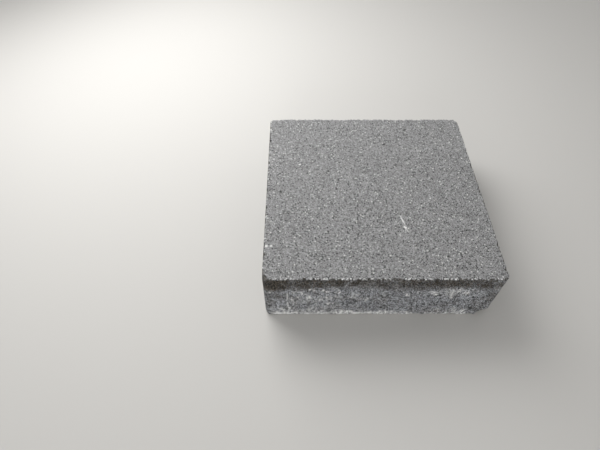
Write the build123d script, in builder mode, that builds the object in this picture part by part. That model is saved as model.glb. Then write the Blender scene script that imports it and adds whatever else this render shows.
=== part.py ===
from build123d import *
import os

# A square paving stone of pressed concrete, lying on its underside.
# It is cast in one piece, so it is one solid.
# Millimetres. The origin is the middle of the underside, +X runs to the right along the front side,
# +Y runs to the back and +Z up to the walking face.

# Driving dimensions of the block
stone_length = 200.0  # along the front side
stone_width = 200.0  # from front to back
stone_thickness = 60.0  # from the underside to the walking face
corner_radius = 5.0  # the four upright corners, rounded by the mould

# Driving dimensions of the corner that has broken away, low at the front right
break_along_front = 11.5
break_along_side = 8.0
break_up_corner = 10.5
break_hollow = 3.5  # how far the broken face dips behind a flat cut through its three tips


def sphere_through(first, second, third, hollow):
    """Centre and radius of the sphere through three points that dips this far behind their plane.

    The centre lies on the side that the right-hand normal of the three points, in order, points to.
    """
    side_a = first - third
    side_b = second - third
    normal = side_a.cross(side_b)
    to_centre = (side_b * side_a.dot(side_a) - side_a * side_b.dot(side_b)).cross(normal)
    middle = third + to_centre / (2 * normal.dot(normal))
    half_span = (middle - first).length
    radius = (half_span ** 2 + hollow ** 2) / (2 * hollow)
    return middle + normal.normalized() * (radius - hollow), radius


os.makedirs("parts", exist_ok=True)

# The tips of the broken face, one on each of the three edges that met at the lost corner
lost_corner = Vector(stone_length / 2, -stone_width / 2, 0)
front_tip = lost_corner - Vector(break_along_front, 0, 0)
side_tip = lost_corner + Vector(0, break_along_side, 0)
upper_tip = lost_corner + Vector(0, 0, break_up_corner)
break_centre, break_radius = sphere_through(front_tip, side_tip, upper_tip, break_hollow)

# The stone: its outline pressed up to the full thickness, less the broken corner
with BuildPart() as paving_stone:
    with BuildSketch(Plane.XY) as outline:
        RectangleRounded(stone_length, stone_width, corner_radius)
    extrude(amount=stone_thickness)
    with Locations(break_centre):
        Sphere(break_radius, mode=Mode.SUBTRACT)
paving_stone.part.label = "paving_stone"
export_step(paving_stone.part, "parts/paving_stone.step")

box = paving_stone.part.bounding_box()
print(f"paving stone {box.size.X:.1f} x {box.size.Y:.1f} x {box.size.Z:.1f} mm")
print(f"volume {paving_stone.part.volume / 1e6:.4f} dm3, sphere of the break {break_radius:.2f} mm")
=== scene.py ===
# %% [markdown]
# # A pressed concrete paving stone
# The stone is one block, 200 x 200 x 60 mm. A press makes it in two goes: coarse core mix fills most
# of the mould, and a thin bed of fine dark facing mix lies on top and becomes the walking face.
# This lesson takes the measured block, gives its surface real relief, and then a finish that knows
# which of the two mixes it is looking at.

# %% Load the measured stone
import math
import random

import bmesh
import bpy
from mathutils import Matrix, Vector, kdtree, noise


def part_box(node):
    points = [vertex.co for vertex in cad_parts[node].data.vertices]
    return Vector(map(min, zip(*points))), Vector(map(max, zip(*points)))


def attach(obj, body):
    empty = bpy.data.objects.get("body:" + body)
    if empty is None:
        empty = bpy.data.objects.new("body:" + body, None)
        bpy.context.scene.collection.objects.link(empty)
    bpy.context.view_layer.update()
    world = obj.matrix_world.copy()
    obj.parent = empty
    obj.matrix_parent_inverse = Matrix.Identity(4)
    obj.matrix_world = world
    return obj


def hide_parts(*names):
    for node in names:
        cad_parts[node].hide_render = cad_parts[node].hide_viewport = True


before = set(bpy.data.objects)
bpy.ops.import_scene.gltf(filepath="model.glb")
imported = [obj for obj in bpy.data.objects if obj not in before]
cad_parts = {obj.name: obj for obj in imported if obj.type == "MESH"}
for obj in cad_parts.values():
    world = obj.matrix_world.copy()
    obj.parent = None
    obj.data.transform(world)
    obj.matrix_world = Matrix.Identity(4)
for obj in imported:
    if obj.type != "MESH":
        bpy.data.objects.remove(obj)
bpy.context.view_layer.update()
scene = bpy.context.scene

MM = 0.001
stone_low, stone_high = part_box("paving_stone")
stone_size = stone_high - stone_low
stone_middle = (stone_low + stone_high) / 2
half_length = stone_size.x / 2
half_width = stone_size.y / 2
print("stone in mm:", [round(side / MM, 1) for side in stone_size])

# %% [markdown]
# ## Slice a block
# Real relief needs points to carry it, and a cube has only eight. It is the right start all the same,
# because it is closed and its corners are where they belong. Three rounds of cuts, one along each axis,
# slice it into squares a little over 2 mm wide. Cutting only the edges that run along one axis keeps
# every face a square. Four marks are added to the points before anything else, because adding one
# later would make every list of points go stale.

# %% Slice the block into a grid
COLUMNS = 92
ROWS_UP = 28
FLAT = 1e-6


def cut_along(axis, pieces):
    """Cuts every edge that runs along one axis into equal pieces."""
    across = [k for k in range(3) if k != axis]
    edges = []
    for edge in block.edges:
        span = edge.verts[1].co - edge.verts[0].co
        if all(abs(span[k]) < FLAT for k in across):
            edges.append(edge)
    bmesh.ops.subdivide_edges(block, edges=edges, cuts=pieces - 1)


block = bmesh.new()
fresh = block.verts.layers.float.new("fresh_break")
bloom = block.verts.layers.float.new("lime_bloom")
core_mix = block.verts.layers.float.new("core_mix")
# The pit mark holds how strong the painted shade in a pit or hole is.
pit_shade = block.verts.layers.float.new("pit")
bmesh.ops.create_cube(block, size=1.0)
bmesh.ops.scale(block, vec=stone_size, verts=block.verts)
bmesh.ops.translate(block, vec=stone_middle, verts=block.verts)
for axis, pieces in ((2, ROWS_UP), (0, COLUMNS), (1, COLUMNS)):
    cut_along(axis, pieces)
print("squares:", len(block.faces))

# %% [markdown]
# ## What is known of the front
# Two things on the front side have known places: pits, where air was trapped against the mould wall,
# and blots of lime. Both are only a few millimetres wide, so the grid has to be fine there, and they
# are noted before it is refined.

# %% Note the pits and blots of the front
# Pits: along the front, height, span in mm
FRONT_PITS = (
    (-24.1, 27.5, 2.4), (-20.9, 25.0, 2.4), (-24.1, 21.9, 2.2), (-28.1, 19.4, 1.8), (-11.3, 33.1, 2.2),
    (-7.5, 21.3, 2.4), (-10.6, 13.8, 2.4), (-17.2, 11.9, 2.6), (-20.3, 15.0, 2.0), (-22.2, 8.1, 2.2),
    (-96.0, 17.5, 2.4), (-76.3, 17.4, 2.2), (-74.7, 15.4, 2.0), (-69.4, 19.0, 1.8), (-46.9, 19.0, 1.8),
    (-84.4, 15.6, 2.0), (2.5, 13.8, 2.8), (13.4, 23.8, 2.0), (38.4, 18.8, 2.8), (49.4, 35.0, 2.8),
    (50.9, 28.7, 2.0), (57.2, 16.2, 2.6), (70.0, 15.3, 2.0), (78.0, 31.5, 2.4), (92.0, 24.7, 2.2),
    (82.8, 10.5, 3.2), (43.0, 11.0, 2.0), (28.0, 8.0, 2.0),
)
# Blots: along the front, height, half length and half height in mm, strength
FRONT_BLOTS = (
    (-94.4, 40.6, 1.2, 2.2, 0.6), (-74.4, 39.7, 1.8, 1.8, 0.6), (-71.3, 42.0, 0.9, 2.4, 0.4),
    (-67.5, 39.6, 1.5, 2.6, 0.6), (-65.0, 36.6, 2.4, 1.2, 0.6), (-60.6, 45.0, 1.6, 1.4, 0.8),
    (-57.5, 43.8, 1.1, 2.2, 0.8), (-50.0, 43.6, 1.2, 1.8, 0.7), (-46.8, 41.3, 2.4, 1.7, 0.9),
    (-40.6, 46.0, 2.8, 1.0, 0.4), (-36.9, 40.0, 1.7, 1.6, 1.1), (-36.9, 44.0, 0.8, 1.8, 0.6),
    (-25.6, 39.4, 1.2, 1.6, 0.4), (-21.9, 37.0, 3.4, 1.1, 0.4), (-24.0, 32.5, 1.8, 1.5, 0.4),
    (-13.4, 41.2, 1.1, 1.7, 0.7), (-10.0, 45.0, 1.0, 2.0, 0.4), (-12.2, 27.8, 1.4, 2.8, 0.7),
    (-76.2, 29.4, 1.2, 2.8, 0.9), (-71.0, 31.9, 1.2, 2.2, 0.6), (-61.6, 31.0, 1.8, 2.8, 1.0),
    (-51.4, 27.6, 2.2, 3.0, 0.6), (-46.5, 32.5, 0.9, 3.0, 0.8), (-43.7, 31.9, 1.2, 2.0, 0.6),
    (-38.0, 33.0, 1.8, 1.8, 0.6), (-44.0, 20.2, 1.8, 1.6, 0.6), (53.0, 9.2, 2.6, 1.8, 0.6),
    (-55.6, 23.0, 0.8, 2.4, 0.4), (-78.0, 12.5, 2.4, 0.9, 0.9), (-83.0, 6.5, 0.9, 1.6, 0.6),
    (-59.4, 10.6, 2.6, 2.2, 0.6), (1.0, 38.0, 0.8, 2.6, 0.5), (10.0, 44.4, 1.4, 1.6, 0.4),
    (21.9, 36.2, 2.0, 2.6, 0.9), (18.7, 40.6, 1.6, 1.2, 0.5), (30.0, 39.4, 0.9, 2.2, 0.5),
    (43.0, 39.8, 2.4, 2.0, 0.9), (46.2, 35.8, 1.7, 1.4, 1.1), (39.6, 41.4, 1.4, 1.2, 0.5),
    (60.0, 31.0, 1.2, 2.0, 0.5), (63.7, 43.0, 1.1, 2.2, 0.9), (70.6, 38.7, 2.6, 2.6, 0.9),
    (74.7, 44.4, 1.1, 1.6, 0.8), (77.5, 41.8, 2.4, 1.4, 0.6), (66.9, 10.0, 3.0, 3.4, 0.5),
    (76.9, 7.6, 1.6, 2.4, 0.7), (-84.5, 11.0, 2.6, 1.6, 0.5),
)
print("known pits and blots:", len(FRONT_PITS), len(FRONT_BLOTS))

# %% [markdown]
# ## Finer where the stone crumbles
# An arris is the sharp edge where two faces meet, and it is where a stone crumbles. The sides are
# rougher than the walking face too. So the grid is halved on the sides, and once more along the
# arrises, round the two lower front corners, where most is lost, and at the known pits and blots. Where
# a fine square meets a coarse one, a face is left with a corner halfway along a straight side. Such
# faces are cut into well-shaped triangles, so that nothing thinner is made of them later.

# %% Refine the grid
SIDE_ZONE = 4.4 * MM
ARRIS_ZONE = 2.8 * MM
CORNER_ZONE = 13 * MM
BLOT_ZONE = 1.4  # of a blot's own half sizes
STRAIGHT = math.radians(175)


def behind_faces(co):
    """Depths of a point behind the nearest upright side and the nearest level face."""
    behind_side = min(half_length - abs(co.x), half_width - abs(co.y))
    behind_level = min(co.z - stone_low.z, stone_high.z - co.z)
    return behind_side, behind_level


def near_side(co):
    return behind_faces(co)[0] < SIDE_ZONE


def near_detail(co):
    if max(behind_faces(co)) < ARRIS_ZONE:
        return True
    if max(half_length - abs(co.x), co.y - stone_low.y, co.z - stone_low.z) < CORNER_ZONE:
        return True
    if co.y > stone_low.y + FLAT:
        return False
    for x, z, span in FRONT_PITS:
        if abs(co.x / MM - x) < span and abs(co.z / MM - z) < span:
            return True
    for x, z, half_x, half_z, _ in FRONT_BLOTS:
        if abs(co.x / MM - x) < BLOT_ZONE * half_x and abs(co.z / MM - z) < BLOT_ZONE * half_z:
            return True
    return False


for in_zone in (near_side, near_detail):
    edges = [edge for edge in block.edges if in_zone((edge.verts[0].co + edge.verts[1].co) / 2)]
    bmesh.ops.subdivide_edges(block, edges=edges, cuts=1, use_grid_fill=True)
border = [face for face in block.faces if any(loop.calc_angle() > STRAIGHT for loop in face.loops)]
bmesh.ops.triangulate(block, faces=border, quad_method="BEAUTY", ngon_method="BEAUTY")
block.verts.ensure_lookup_table()
block.verts.index_update()
shortest = min(edge.calc_length() for edge in block.edges)
print("faces:", len(block.faces), f"shortest edge {shortest / MM:.2f} mm")

# %% [markdown]
# ## Round the upright corners
# The mould rounds the four upright corners to a radius of 5 mm, because sharp ones would break as the
# stone leaves it. A bevel would cut across the grid. Instead each square corner zone is drawn onto a
# quarter disc: a point keeps its direction from the centre of the rounding, and the larger of its two
# offsets becomes its distance. The outer sides of the zone then land on the arc.

# %% Round the upright corners
CORNER_RADIUS = 5.0 * MM


def past_corner_centre(co):
    """How far a point lies beyond the centre of its corner's rounding, along x and along y."""
    return abs(co.x) - half_length + CORNER_RADIUS, abs(co.y) - half_width + CORNER_RADIUS


for vert in block.verts:
    over_x, over_y = past_corner_centre(vert.co)
    if min(over_x, over_y) > 0:
        shrink = max(over_x, over_y) / math.hypot(over_x, over_y)
        vert.co.x = math.copysign(half_length - CORNER_RADIUS + over_x * shrink, vert.co.x)
        vert.co.y = math.copysign(half_width - CORNER_RADIUS + over_y * shrink, vert.co.y)
reach = max(math.hypot(vert.co.x, vert.co.y) for vert in block.verts)
print(f"the rounding takes {(math.hypot(half_length, half_width) - reach) / MM:.2f} mm off a diagonal")

# %% [markdown]
# ## Ask where a point lies
# Wear and relief ask two things of every point: how deep is it behind the sides, and which way do they
# face there? For a square with rounded corners a short formula answers, so no ray has to be cast. While
# the block is still perfect, the points of each face are listed. A point on an arris belongs to two.

# %% Sort the points by the faces they lie on
UP = Vector((0, 0, 1))


def behind_sides(co):
    """Depth of a point behind the upright sides, and the way the nearest one faces."""
    over_x, over_y = past_corner_centre(co)
    if over_x > 0 and over_y > 0:
        away = math.hypot(over_x, over_y)
        facing = Vector((math.copysign(over_x, co.x), math.copysign(over_y, co.y), 0)) / away
        return CORNER_RADIUS - away, facing
    if over_x > over_y:
        return CORNER_RADIUS - over_x, Vector((math.copysign(1, co.x), 0, 0))
    return CORNER_RADIUS - over_y, Vector((0, math.copysign(1, co.y), 0))


side_facing = {}
for vert in block.verts:
    depth, facing = behind_sides(vert.co)
    if depth < FLAT:
        side_facing[vert] = facing
on_top = [vert for vert in block.verts if vert.co.z > stone_high.z - FLAT]
on_foot = [vert for vert in block.verts if vert.co.z < stone_low.z + FLAT]
top_arris = [vert for vert in on_top if vert in side_facing]
foot_arris = [vert for vert in on_foot if vert in side_facing]
print("points on the sides, walking face, underside:", len(side_facing), len(on_top), len(on_foot))

# %% [markdown]
# ## Dull the arrises
# The arrises of this stone have no chamfer. The press leaves them sharp and handling dulls them a
# little: each becomes a small round whose radius changes along its run. A point within that radius of
# both faces is drawn onto the round, and all others stay where they are. Smooth noise gives the
# change, here and in most of the relief below. Each use of it is shifted by an amount chosen freely,
# so that no two rise and fall together.

# %% Dull the arrises
TOP_DULLING = (0.1 * MM, 0.5 * MM)
FOOT_DULLING = (0.2 * MM, 1.0 * MM)
DULLING_RUN = 7 * MM


def clamp(value):
    """Keeps a value between 0 and 1."""
    return max(0.0, min(1.0, value))


def part_way(start, end, share):
    """The value at this share of the way from start to end."""
    return start + share * (end - start)


def ripple(co, size, shift):
    """Smooth noise between 0 and 1 with bumps of this size in metres."""
    return clamp(0.5 + 0.5 * noise.noise(co / size + Vector((shift, -shift, shift))))


def dull_arris(co, level, up, dulling):
    """Draws a point close to a level face and the sides onto the small round between them."""
    depth, facing = behind_sides(co)
    radius = part_way(*dulling, ripple(Vector((co.x, co.y, level)), DULLING_RUN, 3.1))
    across = radius - depth
    over = radius - (level - co.z) * up
    if across > 0 and over > 0:
        pull = min(1.0, radius / math.hypot(across, over))
        co.xy -= facing.xy * across * (1 - pull)
        co.z -= up * over * (1 - pull)


for vert in block.verts:
    dull_arris(vert.co, stone_high.z, 1, TOP_DULLING)
    dull_arris(vert.co, stone_low.z, -1, FOOT_DULLING)
worn = sorted((stone_high.z - vert.co.z) / MM for vert in top_arris)
print(f"top arris worn down by {worn[0]:.2f} to {worn[-1]:.2f} mm")

# %% [markdown]
# ## Where one mix meets the other
# The press pushes the two mixes into each other, so their seam runs round the sides in a wavy line, 10
# to 18 mm under the walking face, and it is soft over several millimetres. On the front its depth is
# known at some places, and soft ovals draw the dark facing tone further down: at both ends of the front
# they paint shade, and between them they are darker patches. On the other sides the wave is left to
# noise. A mark on each point keeps the share of core mix there, lowered where shade is painted: relief
# needs it now and colour needs it later.

# %% Note the seam of the front
# Along the front, depth under the walking face in mm, darkness of the facing mix above the seam. Above
# 1 at the left end, where it paints shade.
FRONT_SEAM = (
    (-98, 18.0, 1.05), (-88, 18.0, 1.08), (-82, 15.5, 1.05), (-76, 14.0, 0.68), (-66, 13.5, 0.90),
    (-58, 14.0, 0.86), (-46, 12.5, 0.94), (-40, 12.8, 0.92), (-30, 12.0, 0.68), (-18, 13.5, 0.80),
    (-12, 10.5, 0.66), (-4, 16.0, 0.70), (4, 16.5, 0.68), (12, 13.2, 0.68), (20, 15.0, 0.74),
    (28, 15.5, 0.78), (37, 15.5, 0.88), (44, 13.0, 0.76), (52, 12.8, 0.86), (61, 12.0, 0.84),
    (68, 13.5, 0.72), (78, 14.0, 0.76), (84, 16.0, 0.78), (92, 13.0, 0.40), (96, 15.0, 0.40),
)
# Dark facing tone drawn lower: painted shade at both ends of the front, darker patches between them.
# Along the front, height, half length and half height in mm, strength
FRONT_SHADE_AND_PATCHES = (
    (-96, 30, 6, 20, 0.25), (-87, 34, 9, 8, 0.30), (95, 29, 7, 24, 0.55), (84, 10, 3, 4, 0.25),
    (17, 27, 8, 10, 0.20), (-4, 17, 4, 5, 0.32),
)
FAINT = 6  # past the square root of this many half sizes an oval no longer counts


def between(table, place, column):
    """Reads a table at a place between its rows, whose places are in its first column."""
    for before, after in zip(table, table[1:]):
        if place <= after[0]:
            share = max(0.0, (place - before[0]) / (after[0] - before[0]))
            return part_way(before[column], after[column], share)
    return table[-1][column]


def ovals(table, along, up):
    """Sum of soft ovals at a place of a side, in mm along it and up."""
    total = 0.0
    for x, z, half_x, half_z, strength in table:
        far = ((along - x) / half_x) ** 2 + ((up - z) / half_z) ** 2
        if far < FAINT:
            total += strength * math.exp(-far)
    return total


print("places along the seam of the front:", len(FRONT_SEAM))

# %% Mark the mixes
SEAM_DEPTH = (9.5, 17.5)
SEAM_WAVE = 24 * MM
SEAM_SOFTNESS = 10.5 * MM
FACING_DARKNESS = (0.7, 1.0)
DARKNESS_WAVE = 30 * MM
FRONT_LEAN = 6  # a corner counts as front once it faces forwards by one part in this many


def core_share(co, facing):
    """0 in the facing mix at the top, 1 in the core mix below it, and a soft step between them."""
    round_the_stone = Vector((co.x, co.y, 0))
    depth = part_way(*SEAM_DEPTH, ripple(round_the_stone, SEAM_WAVE, 1.7)) * MM
    darkness = part_way(*FACING_DARKNESS, ripple(round_the_stone, DARKNESS_WAVE, 4.9))
    on_front = clamp(-FRONT_LEAN * facing.y)
    depth = part_way(depth, between(FRONT_SEAM, co.x / MM, 1) * MM, on_front)
    darkness = part_way(darkness, between(FRONT_SEAM, co.x / MM, 2), on_front)
    step = clamp((stone_high.z - depth - co.z) / SEAM_SOFTNESS + 0.5)
    step = step * step * (3 - 2 * step)
    # The ovals draw the dark facing tone lower: at both ends of the front this is painted shade.
    shade_and_patches = on_front * ovals(FRONT_SHADE_AND_PATCHES, co.x / MM, (co.z - stone_low.z) / MM)
    return 1 - darkness * (1 - step) - shade_and_patches


for vert in on_foot:
    vert[core_mix] = 1.0
for vert, facing in side_facing.items():
    vert[core_mix] = core_share(vert.co, facing)
print("points in the core mix:", sum(vert[core_mix] > 0.5 for vert in side_facing))

# %% [markdown]
# ## Give each face its relief
# The faces were made in different ways, and their relief shows it. The walking face was pressed by a
# smooth plate, so it only has the tooth of its sand. The sides slid up the mould wall, which drew
# upright drag marks in them and left the coarse core more open than the fine facing. The underside
# was left open, as the dry mix there never closed. In each case a smooth wall shaped the outermost
# grains, so the surface is flat with recesses in it: noise counts only where it falls below a level.

# %% Give each face its relief
GRAIN_LEVEL = 0.55
SWELL_LEVEL = 0.50
RECESS_FALL = 0.35  # how far the noise falls below the level where a recess has its full depth
DRAG_STRETCH = 8


def recess(co, width, full_depth, shift, level=GRAIN_LEVEL):
    """Depth of the recesses between grains: nothing where the noise is above the level."""
    return full_depth * max(0.0, level - ripple(co, width, shift)) / RECESS_FALL


def side_depth(co, core):
    """Depth of a side's relief: drag marks all over, and an open coarse grain in the core."""
    coarse = recess(co, 2.4 * MM, full_depth=(0.10 + 0.14 * core) * MM, shift=5.5)
    swell = recess(co, 11 * MM, full_depth=0.20 * core * MM, shift=9.2, level=SWELL_LEVEL)
    drawn_up = Vector((co.x, co.y, co.z / DRAG_STRETCH))
    return coarse + swell + recess(drawn_up, 1.8 * MM, full_depth=0.14 * MM, shift=7.7)


for vert, facing in side_facing.items():
    vert.co -= facing * side_depth(vert.co, max(0.0, vert[core_mix]))
for vert in on_top:
    tooth = recess(vert.co, 3.0 * MM, full_depth=0.10 * MM, shift=2.2)
    swell = recess(vert.co, 26 * MM, full_depth=0.10 * MM, shift=4.4)
    vert.co.z -= tooth + swell
for vert in on_foot:
    grain = recess(vert.co, 3.4 * MM, full_depth=0.6 * MM, shift=6.6)
    swell = recess(vert.co, 11 * MM, full_depth=0.4 * MM, shift=8.8)
    vert.co.z += grain + swell
deepest = max(behind_sides(vert.co)[0] for vert in side_facing)
print(f"the sides' relief runs to {deepest / MM:.2f} mm")

# %% [markdown]
# ## Break pieces off with a ball
# A crumb, a pit and a broken corner have the same shape: concrete breaks in shallow shells. So one
# tool makes them all. A ball is pressed into the stone, and every point inside it sinks, the way the
# ball is pressed, until it lies on the ball's skin. The mesh stays closed, because nothing is cut. As
# all the points sink the same way, they keep their order and no face folds over the next, which moving
# them out from the ball's centre would not promise. The skin is roughened, as grains tear out of a
# fresh break. A mark on each moved point tells the finish later whether fresh concrete shows there or
# a pit, whose shade the finish paints dark.

# %% Press a ball into the stone
SEARCH_MARGIN = 1.05
TORN_GRAIN = 2.2 * MM

finder = kdtree.KDTree(len(block.verts))
for vert in block.verts:
    finder.insert(vert.co, vert.index)
finder.balance()


def press_ball(centre, radius, inward, roughness, mark=fresh, strength=1.0):
    """Sinks the points inside the ball to its rough skin, marks them and returns their number."""
    moved = 0
    for _, index, _ in finder.find_range(centre, radius * SEARCH_MARGIN):
        vert = block.verts[index]
        away = vert.co - centre
        skin = radius + roughness * (ripple(vert.co, TORN_GRAIN, 1.3) - 0.5)
        if away.length < skin:
            along = away.dot(inward)
            vert.co += inward * (math.sqrt(along ** 2 + skin ** 2 - away.length_squared) - along)
            vert[mark] = max(vert[mark], strength)
            moved += 1
    return moved


def scoop(point, outward, span, dip, roughness=0.0, mark=fresh, strength=1.0):
    """Takes a shell this long and this deep out of the surface at a point."""
    radius = (span * span / 4 + dip * dip) / (2 * dip)
    out = outward.normalized()
    return press_ball(point + out * (radius - dip), radius, -out, roughness, mark, strength)


print("points that a ball can find:", len(block.verts))

# %% [markdown]
# ## The broken corner
# Low at the front right a corner has gone. Three measured tips bound the break, one on each edge that
# met there, and one more number says how far it dips behind a flat cut. Three points and a dip fix one
# ball. A second, flatter one wears the foot of the front left corner.

# %% Break the corner
def ball_through(first, second, third, dip):
    """Centre, radius and inward way of the ball through three points that dips behind their plane."""
    side_a = first - third
    side_b = second - third
    normal = side_a.cross(side_b)
    to_middle = (side_b * side_a.length_squared - side_a * side_b.length_squared).cross(normal)
    middle = third + to_middle / (2 * normal.length_squared)
    half_span = (middle - first).length
    radius = (half_span ** 2 + dip ** 2) / (2 * dip)
    outwards = normal.normalized()
    if outwards.dot(middle - stone_middle) < 0:
        outwards.negate()
    return middle + outwards * (radius - dip), radius, -outwards


def break_corner(side, along_front, along_side, up_corner, dip, roughness):
    """Breaks the lower front corner on the left (-1) or on the right (1). Sizes are in mm."""
    corner = Vector((side * half_length, stone_low.y, stone_low.z))
    tips = (
        corner - Vector((side * along_front * MM, 0, 0)),
        corner + Vector((0, along_side * MM, 0)),
        corner + Vector((0, 0, up_corner * MM)),
    )
    return press_ball(*ball_through(*tips, dip * MM), roughness * MM)


moved = break_corner(1, along_front=11.5, along_side=8.0, up_corner=10.5, dip=3.5, roughness=0.9)
print("points on the broken corner:", moved)
moved = break_corner(-1, along_front=3.0, along_side=5.0, up_corner=7.0, dip=0.3, roughness=0.4)
print("points on the worn corner:", moved)

# %% [markdown]
# ## Crumbs out of the arrises
# Each arris has lost grains and small crumbs along its whole run. The places are drawn by lot from the
# arris's own points. A fixed seed gives the same stone each time. Small crumbs are common and large
# ones rare, so the span is drawn with a power that favours the small end.

# %% Crumble the arrises
SEED = 20060
SMALL_END = 3
CRUMB_LEAN = (0.6, 1.4)  # how far a crumb faces sideways, for a rise or fall of 1
CRUMB_ROUGHNESS = 0.15 * MM

chance = random.Random(SEED)


def crumble(arris, up, count, spans, dips, strength=1.0):
    """Scoops crumbs out of an arris. A dip is a share of its crumb's span."""
    for vert in chance.sample(arris, count):
        _, facing = behind_sides(vert.co)
        span = part_way(*spans, chance.random() ** SMALL_END)
        outward = facing * chance.uniform(*CRUMB_LEAN) + UP * up
        dip = span * chance.uniform(*dips)
        scoop(vert.co.copy(), outward, span, dip, CRUMB_ROUGHNESS, strength=strength)


crumble(top_arris, 1, count=520, spans=(0.9 * MM, 1.7 * MM), dips=(0.34, 0.52), strength=0.8)
crumble(top_arris, 1, count=190, spans=(1.8 * MM, 3.4 * MM), dips=(0.32, 0.46))
crumble(foot_arris, -1, count=260, spans=(1.2 * MM, 5.0 * MM), dips=(0.16, 0.32), strength=0.6)

# The front left corner of the walking face has lost the most. Place, span and dip in mm
FRONT_LEFT_CRUMBS = ((-98.2, -97.0, 8.0, 1.9), (-99.6, -93.0, 5.0, 1.2), (-94.6, -99.4, 3.6, 0.9))
for x, y, span, dip in FRONT_LEFT_CRUMBS:
    point = Vector((x * MM, y * MM, stone_high.z))
    _, facing = behind_sides(point)
    scoop(point, facing + UP, span * MM, dip * MM, roughness=0.3 * MM, strength=0.6)
print("points marked as fresh break:", sum(vert[fresh] > 0 for vert in block.verts))

# %% [markdown]
# ## Pits
# The core mix is poured almost dry, so air stays between its grains, and where such a pocket meets the
# mould wall it leaves a pit. The facing mix is finer and closes better: it has no pits that show, and
# the walking face has only a few.

# %% Pit the sides and the walking face
SIDE_PITS = 240
SIDE_SPANS = (1.4, 3.2)
SIDE_DIPS = (0.3, 0.5)
SIDE_SHADES = (0.3, 0.9)
CORE_ENOUGH = 0.7
ABOVE_FOOT = 4 * MM
sites = [vert for vert in side_facing if vert[core_mix] > CORE_ENOUGH and vert.co.z > ABOVE_FOOT]
# Each pit's mark gives how dark its painted shade is.
for vert in chance.sample(sites, SIDE_PITS):
    span = part_way(*SIDE_SPANS, chance.random() ** 2) * MM
    dip = span * chance.uniform(*SIDE_DIPS)
    shade = chance.uniform(*SIDE_SHADES)
    scoop(vert.co.copy(), side_facing[vert], span, dip, mark=pit_shade, strength=shade)

FRONT = Vector((0, -1, 0))
FRONT_DIP = 0.42  # of a pit's span
for x, z, span in FRONT_PITS:
    point = Vector((x * MM, stone_low.y, z * MM))
    shade = 0.35 + 0.6 * ripple(point, 9 * MM, 2.6)
    scoop(point, FRONT, span * MM, FRONT_DIP * span * MM, mark=pit_shade, strength=shade)

TOP_PITS = ((-71, 54.5), (-87.5, -5), (41, 82), (-41, 21), (17.5, 61), (76, -49))
TOP_SPANS = (2.4, 3.2)
TOP_DIP = 0.3
for x, y in TOP_PITS:
    span = chance.uniform(*TOP_SPANS) * MM
    point = Vector((x * MM, y * MM, stone_high.z))
    scoop(point, UP, span, span * TOP_DIP, mark=pit_shade, strength=0.8)
print("pits:", SIDE_PITS + len(FRONT_PITS) + len(TOP_PITS))

# %% [markdown]
# ## Iron out the folds
# Where one crumb bites into another, a few faces end up folded back on their neighbours. A render hides
# that, but a mesh that is to be measured or printed should have none. A fold shows as an edge whose two
# faces turn by well over a right angle, or as a face that is folded in itself. Only the points there
# are smoothed, in a few rounds, so all other relief keeps its bite.

# %% Iron out the folds
SHARPEST_TURN = math.radians(105)
IRONING_ROUNDS = 8


def is_folded(face):
    """True where a face of four or more corners is folded over in itself."""
    first, *others = [vert.co for vert in face.verts]
    turns = [(b - first).cross(c - first) for b, c in zip(others, others[1:])]
    return any(before.dot(after) < 0 for before, after in zip(turns, turns[1:]))


def folded_points():
    """The points of faces that are folded or that turn sharply on each other."""
    block.normal_update()
    faces = [face for face in block.faces if is_folded(face)]
    for edge in block.edges:
        if edge.calc_face_angle() > SHARPEST_TURN:
            faces += edge.link_faces
    return list(dict.fromkeys(vert for face in faces for vert in face.verts))


folded = folded_points()
left = [len(folded)]
for _ in range(IRONING_ROUNDS):
    bmesh.ops.smooth_vert(block, verts=folded, factor=0.5,
                          use_axis_x=True, use_axis_y=True, use_axis_z=True)
    folded = folded_points()
    left.append(len(folded))
print("points on folds, round by round:", left)

# %% [markdown]
# ## Where lime has bloomed
# Water carries lime out of fresh concrete and leaves it on the surface as a pale bloom. On the sides of
# this stone small blots lie in a loose row just under the seam and a few lie low down, with wide thin
# veils between them, and a whitish seam runs along the foot where the stone stood wet. Each blot and
# veil is a soft oval, and all are added up on the points. Those of the front are where they belong, and
# the blots of the other sides are drawn by lot in the same zones.

# %% Note the lime
# The pale seam along the foot of the front: along the front, height in mm, strength
FRONT_FOOT = (
    (-98, 6.5, 0.2), (-92, 9.5, 0.7), (-76, 10.0, 0.9), (-68, 9.5, 0.75), (-60, 10.0, 0.9),
    (-44, 9.8, 0.85), (-36, 10.5, 1.0), (-28, 11.0, 1.4), (-20, 9.4, 0.85), (-12, 10.2, 1.0),
    (-4, 10.0, 0.85), (12, 10.2, 0.9), (22, 10.0, 0.85), (36, 8.0, 0.8), (44, 7.4, 0.6),
    (60, 8.4, 0.65), (76, 10.4, 0.8), (84, 7.0, 0.5), (88, 1.0, 0.0),
)
# Veils of the front, noted like its blots
FRONT_VEILS = (
    (-55, 27, 26, 16, 0.20), (-88, 12, 8, 7, 0.22), (60, 42, 22, 5, 0.20), (-76, 16, 5, 12, 0.25),
    (-50, 14, 16, 4, 0.22), (-35, 16, 4, 4, 0.22), (-44, 27, 3, 4, 0.25), (4, 26, 3, 7, 0.22),
    (47, 36, 7, 3, 0.22), (-20, 29, 12, 5, 0.20), (60, 38, 6, 12, 0.20), (53, 40, 5, 14, 0.15),
    (70, 12, 6, 4, 0.20), (-96, 46, 6, 4, 0.60), (95, 46, 4, 4, 0.40),
)
# Blots drawn by lot: how many, and ranges of height, half length and half height in mm and strength
DRAWN_BLOTS = (
    (26, (31, 45), (0.8, 2.6), (1.0, 2.8), (0.4, 1.0)),
    (10, (6, 13), (0.8, 3.0), (1.0, 3.4), (0.4, 0.8)),
)
BLOTS_END = 94


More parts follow.
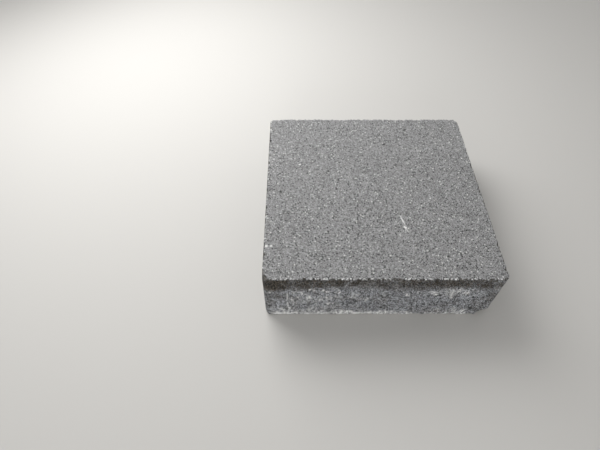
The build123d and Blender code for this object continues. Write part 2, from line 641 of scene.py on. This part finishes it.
def drawn_blots():
    """Blots of a side that isn't known: a row under the seam and a few low down."""
    blots = []
    for count, *ranges in DRAWN_BLOTS:
        for _ in range(count):
            along = chance.uniform(-BLOTS_END, BLOTS_END)
            blots.append((along, *(chance.uniform(*limits) for limits in ranges)))
    return blots


SIDES = (FRONT, Vector((1, 0, 0)), Vector((0, 1, 0)), Vector((-1, 0, 0)))
blots_of = [FRONT_BLOTS + FRONT_VEILS] + [drawn_blots() for _ in SIDES[1:]]
print("blots and veils of each side:", [len(blots) for blots in blots_of])

# %% Mark the lime of the sides
BLOT_COVER = 0.85
LIME_ON_FACING = 0.4  # the dense facing mix lets this share of the lime through
FOOT_FADE = 8.0
MOST_BLOOM = 1.4


def foot_bloom(co, along, up, known):
    """Bloom of the pale seam along the foot, which ends at a ragged crest."""
    if known:
        crest = between(FRONT_FOOT, along, 1)
        strength = between(FRONT_FOOT, along, 2)
    else:
        crest = 6 + 4 * ripple(co, 30 * MM, 5.3)
        strength = 0.4 + 0.9 * ripple(co, 30 * MM, 2.9)
    crest += 3.0 * (ripple(co, 6 * MM, 3.7) - 0.5) + 4.0 * (ripple(co, 2.4 * MM, 8.1) - 0.5)
    strength *= max(0.1, 0.95 + 2.6 * (ripple(co, 3.0 * MM, 4.6) - 0.5))
    return strength * clamp((crest - up) / FOOT_FADE)


for vert, facing in side_facing.items():
    nearest = max(range(len(SIDES)), key=lambda k: SIDES[k].dot(facing))
    along = UP.cross(SIDES[nearest]).dot(vert.co) / MM
    up = (vert.co.z - stone_low.z) / MM
    amount = BLOT_COVER * ovals(blots_of[nearest], along, up) * min(1.0, LIME_ON_FACING + vert[core_mix])
    amount += foot_bloom(vert.co, along, up, known=nearest == 0)
    vert[bloom] = min(MOST_BLOOM, amount)
print("strongest bloom on the sides:", round(max(vert[bloom] for vert in side_facing), 2))

# %% [markdown]
# ## Bright grains and shaded holes at the rim
# Along the rim of the walking face the outermost grains stand free. Some are rubbed bright and some
# have left a hole, whose shade is painted dark, so the rim is a line of bright and dark dots, clearest
# at the front. One fine noise draws both, bright ones at its highest spots and holes at its lowest.

# %% Mark the rim of the walking face
RIM_WIDTH = 2.2 * MM
RIM_GRAIN = 1.2 * MM
RIM_PATCH = 7 * MM
BRIGHT_ABOVE = 0.53
HOLE_BELOW = 0.44
for vert in on_top:
    depth, facing = behind_sides(vert.co)
    if depth < RIM_WIDTH:
        rim = min(1.0, 1.6 * (1 - depth / RIM_WIDTH))
        rim *= (0.4 + 0.6 * max(0.0, -facing.y)) * min(1.0, 0.25 + 1.5 * ripple(vert.co, RIM_PATCH, 4.2))
        lot = ripple(vert.co, RIM_GRAIN, 6.1)
        vert[bloom] = min(1.3, rim * 1.3 * max(0.0, lot - BRIGHT_ABOVE) / 0.10)
        # Painted shade in the holes, through the pit mark.
        vert[pit_shade] = max(vert[pit_shade], rim * clamp((HOLE_BELOW - lot) / 0.08))
print("strongest bloom on the rim:", round(max(vert[bloom] for vert in on_top), 2))

# %% [markdown]
# ## Hand the stone over
# The block becomes a mesh object. All its faces are shaded smooth: the relief is in the points, and
# the dulled arrises have their own faces, so no edge needs to be kept hard. The object stands in for
# the measured stone, rides on the one body there is and stays at the origin.

# %% Make the object
def make_object(name, shape):
    """Turns a bmesh into an object of the scene."""
    mesh = bpy.data.meshes.new(name)
    shape.to_mesh(mesh)
    shape.free()
    made = bpy.data.objects.new(name, mesh)
    scene.collection.objects.link(made)
    return made


for face in block.faces:
    face.smooth = True
bmesh.ops.recalc_face_normals(block, faces=block.faces)
stone = make_object("pressed_stone", block)
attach(stone, "root")
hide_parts("paving_stone")
stone.data.calc_loop_triangles()
print("triangles:", len(stone.data.loop_triangles))

# %% [markdown]
# ## Colours of dry concrete
# The facing mix holds dark sand and black pigment. Weather has bleached its top skin, and a painted
# sheen makes it paler still, to a mid grey. It stays darker and warmer on the sides, where no one walks
# and no sheen is painted. The core mix has no pigment: it is the grey of cement, with a cold cast where
# lime lies on it. Colours are noted as sRGB hex values and one function turns them to the linear values
# that a shader works in.

# %% Note the colours
def linear(hex_colour):
    """Turns an sRGB hex colour to linear red, green, blue and alpha."""
    channels = [int(hex_colour[k:k + 2], 16) / 255 for k in (1, 3, 5)]
    return [c / 12.92 if c <= 0.04045 else ((c + 0.055) / 1.055) ** 2.4 for c in channels] + [1.0]


# The walking face: a tone bleached by weather and made paler by a painted sheen.
BLEACHED_SHEEN_DARK = linear("#454545")
BLEACHED_SHEEN_PALE = linear("#b4b4b4")
FACING_DARK = linear("#0c0a08")
FACING_PALE = linear("#7d7263")
CORE_DARK = linear("#2a2c2f")
CORE_PALE = linear("#cacdd2")
BROKEN_DARK = linear("#4e4d4c")
BROKEN_PALE = linear("#8f8e8b")
# Painted shade: pores, pits and holes take this dark colour in place of their shadow.
PORE_SHADE = linear("#2b2a29")
PALE_GRAIN = linear("#d6d6d3")
DARK_GRAIN = linear("#121212")
LIME = linear("#f1f1f0")
DUST = linear("#8f8371")
SCUFF = linear("#e8e8e6")
print("lime in linear light:", [round(channel, 3) for channel in LIME])

# %% [markdown]
# ## One helper for shader nodes
# A material is a tree of nodes. Adding one takes three steps, and the helper does all three: it makes
# the node, writes its settings, and fills its sockets with values or with links from earlier nodes. It
# adds to whichever tree is being worked on. Patterns read the stone's own coordinates, in metres, so a
# scale is one over the size of what is drawn.

# %% Start the finish
finish = bpy.data.materials.new("pressed_concrete_of_two_mixes")
finish.use_nodes = True
tree = finish.node_tree
tree.nodes.clear()

# Every Mix node here mixes colours: these are its sockets. A Math node's values are sockets 0 and 1.
# A texture's first output is its pattern, for Voronoi the distance from the cell's middle
FACTOR, FIRST, SECOND = 0, 6, 7


def add(kind, values=None, links=None, **settings):
    """Adds a ShaderNode of one kind with its settings, values and links.

    A link comes from an output, or from a node, which stands for its first output in use.
    """
    made = tree.nodes.new("ShaderNode" + kind)
    if kind == "Mix":
        made.data_type = "RGBA"
    for name, setting in settings.items():
        setattr(made, name, setting)
    for socket, value in (values or {}).items():
        made.inputs[socket].default_value = value
    for socket, source in (links or {}).items():
        if isinstance(source, bpy.types.Node):
            source = next(output for output in source.outputs if output.enabled)
        tree.links.new(source, made.inputs[socket])
    return made


position = add("TexCoord").outputs["Object"]
height = add("SeparateXYZ", links={"Vector": position}).outputs["Z"]
print("coordinates are the object's own, in metres")

# %% [markdown]
# ## Sand and grit
# The speckle of concrete is its sand. Cells of a Voronoi texture are a fair likeness of packed grains:
# each cell is one grain, and its random colour is three lots drawn for it. One lot gives its shade and
# another says whether it has torn out and left a pore. Real facing sand goes down to dust, but only its
# coarse end is drawn, at 0.5 mm: finer grains would blur to an even grey at this distance. The core's
# grit is coarser, 0.6 mm, and lies in clumps. A third, wider set of cells stands for the largest
# grains, whose tops catch the lime. On the sides the mould wall has drawn each grain out upwards, so
# the coordinates are squeezed in height.

# %% Draw the grains
FACING_GRAIN = 0.50 * MM
CORE_GRAIN = 0.60 * MM
COARSE_GRAIN = 1.6 * MM
FINES = 0.6 * MM
CLUMP = 6.6 * MM
DRAWN_UP = 0.7

drawn = add("Mapping", {"Scale": (1, 1, DRAWN_UP)}, {"Vector": position})
sand = add("TexVoronoi", {"Scale": 1 / FACING_GRAIN}, {"Vector": drawn})
sand_lots = add("SeparateColor", links={"Color": sand.outputs["Color"]}).outputs
grit = add("TexVoronoi", {"Scale": 1 / CORE_GRAIN}, {"Vector": drawn})
grit_lots = add("SeparateColor", links={"Color": grit.outputs["Color"]}).outputs
coarse = add("TexVoronoi", {"Scale": 1 / COARSE_GRAIN}, {"Vector": drawn})
grain_tops = add("MapRange", {"From Min": 0.75, "From Max": 0.30}, {"Value": coarse})
fines = add("TexNoise", {"Scale": 1 / FINES, "Detail": 2.0}, {"Vector": position})
clumps = add("TexNoise", {"Scale": 1 / CLUMP, "Detail": 2.0, "Roughness": 0.5}, {"Vector": drawn})

grit_shade = add("Math", {1: 0.6}, {0: clumps}, operation="MULTIPLY")
grit_shade = add("Math", links={0: grit_lots["Red"], 1: grit_shade}, operation="ADD")
grit_shade = add("MapRange", {"From Min": 0.35, "From Max": 1.25}, {"Value": grit_shade})
# Where grains have torn out and left a pore: painted shade in the colour, and a dip in the bump.
sand_pore = add("MapRange", {"From Min": 0.965, "From Max": 0.985}, {"Value": sand_lots["Blue"]})
grit_pore_shade = add("MapRange", {"From Min": 0.92, "From Max": 0.96}, {"Value": grit_lots["Blue"]})
print("grains in mm:", FACING_GRAIN / MM, CORE_GRAIN / MM, COARSE_GRAIN / MM)

# %% [markdown]
# ## Three tones of one stone
# Each tone is a mix of a dark and a pale shade by the grains' lots: the walking face, bleached and with
# a painted sheen, the dark facing on the sides, and the core with its pores, whose shade is painted dark.
# In the pigmented facing few grains are pale, so their lot is raised to a power.

# %% Mix the three tones
# The walking face, bleached and with a painted sheen.
bleached_and_sheen = add("Mix", {FIRST: BLEACHED_SHEEN_DARK, SECOND: BLEACHED_SHEEN_PALE}, {FACTOR: sand_lots["Red"]})
mostly_dark = add("Math", {1: 4.0}, {0: sand_lots["Red"]}, operation="POWER")
facing_tone = add("Mix", {FIRST: FACING_DARK, SECOND: FACING_PALE}, {FACTOR: mostly_dark})
core = add("Mix", {FIRST: CORE_DARK, SECOND: CORE_PALE}, {FACTOR: grit_shade})
# Painted shade in the pores of the core.
core = add("Mix", {SECOND: PORE_SHADE}, {FACTOR: grit_pore_shade, FIRST: core})
print("nodes:", len(tree.nodes))

# %% [markdown]
# ## Join facing and core
# The share of core mix is on the points already, as a smooth step. Real mixes interlock grain by
# grain and clump by clump, so each grain's lot and the clump that it lies in move the step a little.
# Fine dust lies over both in wide drifts. It warms them here and there without hiding their grain, so
# it is mixed in as soft light.

# %% Join facing and core
DRIFT = 16 * MM
core_mark = add("Attribute", attribute_name="core_mix").outputs["Fac"]
by_grain = add("MapRange", {"To Min": -0.35, "To Max": 0.35}, {"Value": grit_lots["Green"]})
by_clump = add("MapRange", {"To Min": -0.4, "To Max": 0.4}, {"Value": clumps})
interlock = add("Math", links={0: by_grain, 1: by_clump}, operation="ADD")
in_core = add("Math", links={0: core_mark, 1: interlock}, operation="ADD", use_clamp=True)
side_tone = add("Mix", links={FACTOR: in_core, FIRST: facing_tone, SECOND: core})
drift = add("TexNoise", {"Scale": 1 / DRIFT, "Detail": 2.0, "Roughness": 0.6}, {"Vector": position})
dust = add("MapRange", {"From Min": 0.45, "From Max": 0.70, "To Max": 0.50}, {"Value": drift})
side_tone = add("Mix", {SECOND: DUST}, {FACTOR: dust, FIRST: side_tone}, blend_type="SOFT_LIGHT")
print("nodes:", len(tree.nodes))

# %% [markdown]
# ## Stray grains
# Every sand holds a few larger grains of quite another colour. They are dots in the middle of some of
# the widest cells. A cell's lot says whether it has a dot or, as most have, none. On the pale walking
# face there are nearly white dots and nearly black ones. On the sides only dark ones show.

# %% Strew the stray grains
STRAYS = (
    # the tone that they lie in, which lot draws them, where it starts and is full, colour
    ("bleached_and_sheen", "Red", 0.885, 0.91, PALE_GRAIN),
    ("bleached_and_sheen", "Green", 0.75, 0.79, DARK_GRAIN),
    ("side", "Green", 0.77, 0.83, DARK_GRAIN),
)
coarse_lots = add("SeparateColor", links={"Color": coarse.outputs["Color"]}).outputs
dot = add("MapRange", {"From Min": 0.44, "From Max": 0.32}, {"Value": coarse})
strewn = {"bleached_and_sheen": bleached_and_sheen, "side": side_tone}
for under, lot, start, full, colour in STRAYS:
    chosen = add("MapRange", {"From Min": start, "From Max": full}, {"Value": coarse_lots[lot]})
    grain = add("Math", links={0: dot, 1: chosen}, operation="MULTIPLY")
    strewn[under] = add("Mix", {SECOND: colour}, {FACTOR: grain, FIRST: strewn[under]})
print("kinds of stray grains:", len(STRAYS))

# %% [markdown]
# ## The pale skin: bleached, with a painted sheen
# Only the skin of the walking face is pale: weather has bleached it, and part of its paleness is a
# painted sheen. It ends at the arris, about half a millimetre down, and where a crumb is gone the dark
# mix under it shows. So the skin is a matter of height, made a little ragged by the grains.

# %% Lay the bleached skin
SKIN_FOOT = 0.55 * MM
SKIN_FULL = 0.30 * MM
RAGGED = 0.2 * MM
ragged = add("MapRange", {"To Min": -RAGGED, "To Max": RAGGED}, {"Value": sand_lots["Red"]})
skin_height = add("Math", links={0: height, 1: ragged}, operation="ADD")
in_skin = add("MapRange", {"From Min": stone_high.z - SKIN_FOOT, "From Max": stone_high.z - SKIN_FULL},
              {"Value": skin_height})
tone = add("Mix", links={FACTOR: in_skin, FIRST: strewn["side"], SECOND: strewn["bleached_and_sheen"]})
print("skin in mm:", SKIN_FOOT / MM)

# %% [markdown]
# ## Lime on top
# The marks on the points say roughly where lime lies. Real bloom runs down the stone and clings to the
# tops of its grains. So the amount is multiplied by how well a place holds lime: noise drawn out
# upwards for the runs, with the tops of the largest grains and the lot of each bit of grit added to
# it. Then the shade in pores and pits is painted dark over it.

# %% Lay the lime
RUN_WIDTH = 1.6 * MM
RUN_LENGTH = 3.5 * MM
lime_mark = add("Attribute", attribute_name="lime_bloom").outputs["Fac"]
drawn_out = add("Mapping", {"Scale": (1 / RUN_WIDTH, 1 / RUN_WIDTH, 1 / RUN_LENGTH)}, {"Vector": position})
streaks = add("TexNoise", {"Scale": 1.0, "Detail": 2.0, "Roughness": 0.6}, {"Vector": drawn_out})
by_top = add("MapRange", {"To Min": -0.4, "To Max": 0.4}, {"Value": grain_tops})
by_grit = add("MapRange", {"To Min": -0.5, "To Max": 0.5}, {"Value": grit_lots["Red"]})
by_grain = add("Math", links={0: by_top, 1: by_grit}, operation="ADD")
lime_hold = add("MapRange", {"From Min": 0.3, "From Max": 0.7, "To Min": 0.4, "To Max": 1.6},
                {"Value": streaks})
lime_hold = add("Math", links={0: lime_hold, 1: by_grain}, operation="ADD")
lime_amount = add("Math", links={0: lime_mark, 1: lime_hold}, operation="MULTIPLY")
lime_amount = add("MapRange", {"From Min": 0.12, "From Max": 1.0}, {"Value": lime_amount})
tone = add("Mix", {SECOND: LIME}, {FACTOR: lime_amount, FIRST: tone})
# Painted shade in pores, pits and the holes at the rim.
pit_shade_mark = add("Attribute", attribute_name="pit").outputs["Fac"]
for shaded_hollow in (sand_pore, pit_shade_mark):
    tone = add("Mix", {SECOND: PORE_SHADE}, {FACTOR: shaded_hollow, FIRST: tone})
print("nodes:", len(tree.nodes))

# %% [markdown]
# ## Scratch, scuffs and single pale grains
# Something hard was dragged over the walking face and left a pale scratch with a forked tail. The left
# arris is scuffed in a few places, thin lines of lime run down the front in two places, with a dab low
# beside one, and a few white grains stand out. Each mark is a long thin egg in the stone. A Mapping
# node of the texture kind turns the stone's coordinates into the egg's own, in which it is a ball of
# radius 1. Noise frays it.

# %% Draw the marks
TOP = stone_high.z / MM
FACE = stone_low.y / MM
MARKS = (
    # place and full size in mm, turn about y and about z in degrees, strength
    ((21.7, -38.6, TOP), (11.5, 1.2, 6), (0, -73), 0.80),
    ((22.8, -46.6, TOP), (3.8, 2.0, 6), (0, -60), 0.90),
    ((24.4, -50.2, TOP), (6.5, 0.9, 6), (0, -65), 0.50),
    ((22.6, -50.6, TOP), (5.0, 0.8, 6), (0, -95), 0.45),
    ((-97.6, -66.5, TOP), (3.2, 2.6, 6), (0, 5), 0.80),
    ((-93.4, -66.5, TOP), (2.2, 2.2, 6), (0, 5), 0.75),
    ((-98.9, -34.0, TOP), (3.0, 1.8, 6), (0, 60), 0.60),
    ((-98.9, 84.5, TOP), (4.2, 2.0, 6), (0, 80), 0.80),
    ((-79.9, FACE, 33), (1.3, 6, 14), (2, 0), 0.60),
    ((-79.6, FACE, 19), (1.1, 6, 12), (-3, 0), 0.55),
    ((58.8, FACE, 38), (1.6, 6, 14), (-3, 0), 0.65),
    ((-83.6, FACE, 9.5), (3.4, 6, 1.6), (0, 0), 0.80),
    ((-94.5, 38.7, TOP), (1.5, 1.5, 6), (0, 0), 0.90),
    ((-69.0, 31.0, TOP), (2.2, 1.6, 6), (0, 0), 0.95),
    ((-70.0, 92.0, TOP), (1.5, 1.5, 6), (0, 0), 0.80),
    ((95.0, 72.0, TOP), (1.5, 1.5, 6), (0, 0), 0.80),
    ((92.0, 40.0, TOP), (1.7, 1.6, 6), (0, 0), 0.90),
    ((51.0, -13.0, TOP), (1.5, 1.5, 6), (0, 0), 0.90),
    ((64.0, 8.0, TOP), (1.5, 1.5, 6), (0, 0), 0.80),
)
fray = add("MapRange", {"From Min": 0.3, "From Max": 0.7, "To Min": -0.35, "To Max": 0.35},
           {"Value": fines})
for (x, y, z), size, (tilt, turn), strength in MARKS:
    own = add("Mapping",
              {"Location": (x * MM, y * MM, z * MM),
               "Rotation": (0, math.radians(tilt), math.radians(turn)),
               "Scale": [side / 2 * MM for side in size]},
              {"Vector": position}, vector_type="TEXTURE")
    away = add("VectorMath", links={0: own}, operation="LENGTH")
    frayed = add("Math", links={0: away, 1: fray}, operation="ADD")
    mark = add("MapRange", {"From Min": 1.2, "From Max": 0.7, "To Max": strength}, {"Value": frayed})
    tone = add("Mix", {SECOND: SCUFF}, {FACTOR: mark, FIRST: tone})
print("marks:", len(MARKS))

# %% [markdown]
# ## Fresh break
# A fresh break has no lime, no bleaching and no painted sheen: it shows the mix as it is inside, dark
# in the facing and mid grey in the core.

# %% Tone the fresh break
fresh_mark = add("Attribute", attribute_name="fresh_break").outputs["Fac"]
broken_core = add("Mix", {FIRST: BROKEN_DARK, SECOND: BROKEN_PALE}, {FACTOR: grit_shade})
broken_share = add("MapRange", {"To Min": 0.3}, {"Value": in_core})
broken = add("Mix", links={FACTOR: broken_share, FIRST: facing_tone, SECOND: broken_core})
fresh_amount = add("MapRange", {"From Min": 0.2, "From Max": 0.9, "To Max": 0.8}, {"Value": fresh_mark})
tone = add("Mix", links={FACTOR: fresh_amount, FIRST: tone, SECOND: broken})
print("nodes:", len(tree.nodes))

# %% [markdown]
# ## Grain to the touch
# Relief finer than the grid is left to a bump. Its height is worked out in millimetres: round grains
# stand up, fine paste lies between them, pores drop away. One Bump node with a distance of 1 mm turns
# those figures into slopes, so each term can be checked against real sand.

# %% Raise the grains
sand_height = add("MapRange", {"From Max": 0.9, "To Min": 0.08, "To Max": 0.0}, {"Value": sand})
grit_height = add("MapRange", {"From Max": 0.9, "To Min": 0.24, "To Max": 0.0}, {"Value": grit})
grit_height = add("Math", links={0: grit_height, 1: in_core}, operation="MULTIPLY")
paste_height = add("Math", {1: 0.12}, {0: fines}, operation="MULTIPLY")
pore_drop = add("Math", {1: -0.35}, {0: sand_pore}, operation="MULTIPLY")
relief = sand_height
for term in (grit_height, paste_height, pore_drop):
    relief = add("Math", links={0: relief, 1: term}, operation="ADD")
bump = add("Bump", {"Strength": 1.0, "Distance": MM}, {"Height": relief})
print("nodes:", len(tree.nodes))

# %% [markdown]
# ## Dull as dust
# Dry concrete is a rough dielectric: no metal, an index of refraction of about 1.5, and hardly any
# shine. Those values are the same all over, so they are set on the shader's own sockets.

# %% Put the finish on the stone
surface = add("BsdfPrincipled", {"Roughness": 0.9, "IOR": 1.5}, {"Base Color": tone, "Normal": bump})
add("OutputMaterial", links={"Surface": surface})
stone.data.materials.append(finish)
print("nodes in the finish:", len(tree.nodes))

# %% [markdown]
# ## A pale floor
# The stone lies on a plain pale floor. It is a stage, not a part of the stone, and so wide that no edge
# of it shows close by.

# %% Lay the floor
FLOOR_HALF = 3.0
STAGE_PALE = linear("#cfcdc9")
sheet = bmesh.new()
bmesh.ops.create_grid(sheet, x_segments=1, y_segments=1, size=FLOOR_HALF)
bmesh.ops.translate(sheet, vec=(0, 0, stone_low.z), verts=sheet.verts)
floor = make_object("floor", sheet)

floor_paint = bpy.data.materials.new("matt_floor_paint")
floor_paint.use_nodes = True
tree = floor_paint.node_tree
tree.nodes.clear()
paint = add("BsdfPrincipled", {"Base Color": STAGE_PALE, "Roughness": 0.95})
add("OutputMaterial", links={"Surface": paint})
floor.data.materials.append(floor_paint)
print("floor in metres:", 2 * FLOOR_HALF)

# %% [markdown]
# ## An even sky
# An even white sky lights the stone from all round. The camera sees a pale backdrop in the floor's
# colour instead, and so do shiny and see-through surfaces: the kind of ray tells the two apart. The
# backdrop hardly adds to the light on the stone, because its shine is faint.

# %% Light the sky
SKY_STRENGTH = 0.45
world = bpy.data.worlds.new("even_sky")
world.use_nodes = True
scene.world = world
tree = world.node_tree
tree.nodes.clear()
sky = add("Background", {"Color": linear("#ffffff"), "Strength": SKY_STRENGTH})
backdrop = add("Background", {"Color": STAGE_PALE, "Strength": 1.0})
rays = add("LightPath").outputs
seen = rays["Is Camera Ray"]
for kind in ("Is Glossy Ray", "Is Transmission Ray"):
    seen = add("Math", links={0: seen, 1: rays[kind]}, operation="MAXIMUM")
both = add("MixShader", links={0: seen, 1: sky, 2: backdrop})
add("OutputWorld", links={"Surface": both})
print("nodes in the sky:", len(tree.nodes))

# %% [markdown]
# ## Two soft lamps
# One large soft lamp to the back left gives the light a direction: the walking face is brightest at
# its far left corner. A weaker one low at the front lifts the front side, where the two mixes show. It
# shines in a cone wide enough that no edge of its light falls near the stone. Together with the sky
# they light a level face at the strength at which a colour renders as it is written.

# %% Hang the lamps
LAMP_SIZE = 0.5
LAMPS = (
    # name, place in metres, watts, width of the cone in degrees
    ("key_lamp", (-0.33, 0.33, 0.48), 3.9, 180),
    ("fill_lamp", (-0.25, -1.10, 0.35), 0.36, 60),
)
for name, place, watts, cone in LAMPS:
    light = bpy.data.lights.new(name, "AREA")
    light.shape = "SQUARE"
    light.size = LAMP_SIZE
    light.energy = watts
    light.spread = math.radians(cone)
    lamp = bpy.data.objects.new(name, light)
    lamp.visible_camera = False
    scene.collection.objects.link(lamp)
    lamp.location = place
    lamp.rotation_mode = "QUATERNION"
    aim = stone_middle - Vector(place)
    lamp.rotation_quaternion = aim.to_track_quat("-Z", "Y")
    print(name, "in metres from the stone:", round(aim.length, 2))

# %% [markdown]
# ## The camera
# The camera's place was worked out from the stone's own corners: it stands 0.37 m above the floor and
# 0.18 m before the front side, a little to the left, and looks down by 52 degrees. Its lens takes in
# 445 pixels for each unit of slope in a picture 600 pixels wide.

# %% Set up the camera
PICTURE_WIDTH = 600
FOCAL_PIXELS = 445.0
SENSOR_WIDTH = 36.0
CAMERA_PLACE = Vector((-71.2, -283.6, 367.4)) * MM
LOOKS_DOWN = 52.07
TURNED = -0.54
ROLLED = 0.40
camera_data = bpy.data.cameras.new("camera")
camera_data.sensor_width = SENSOR_WIDTH
camera_data.lens = SENSOR_WIDTH * FOCAL_PIXELS / PICTURE_WIDTH
camera = bpy.data.objects.new("camera", camera_data)
scene.collection.objects.link(camera)
camera.matrix_world = (
    Matrix.Translation(CAMERA_PLACE)
    @ Matrix.Rotation(math.radians(TURNED), 4, "Z")
    @ Matrix.Rotation(math.radians(90 - LOOKS_DOWN), 4, "X")
    @ Matrix.Rotation(math.radians(ROLLED), 4, "Z")
)
scene.camera = camera
scene.view_settings.view_transform = "Standard"
print("lens in mm:", round(camera_data.lens, 2))
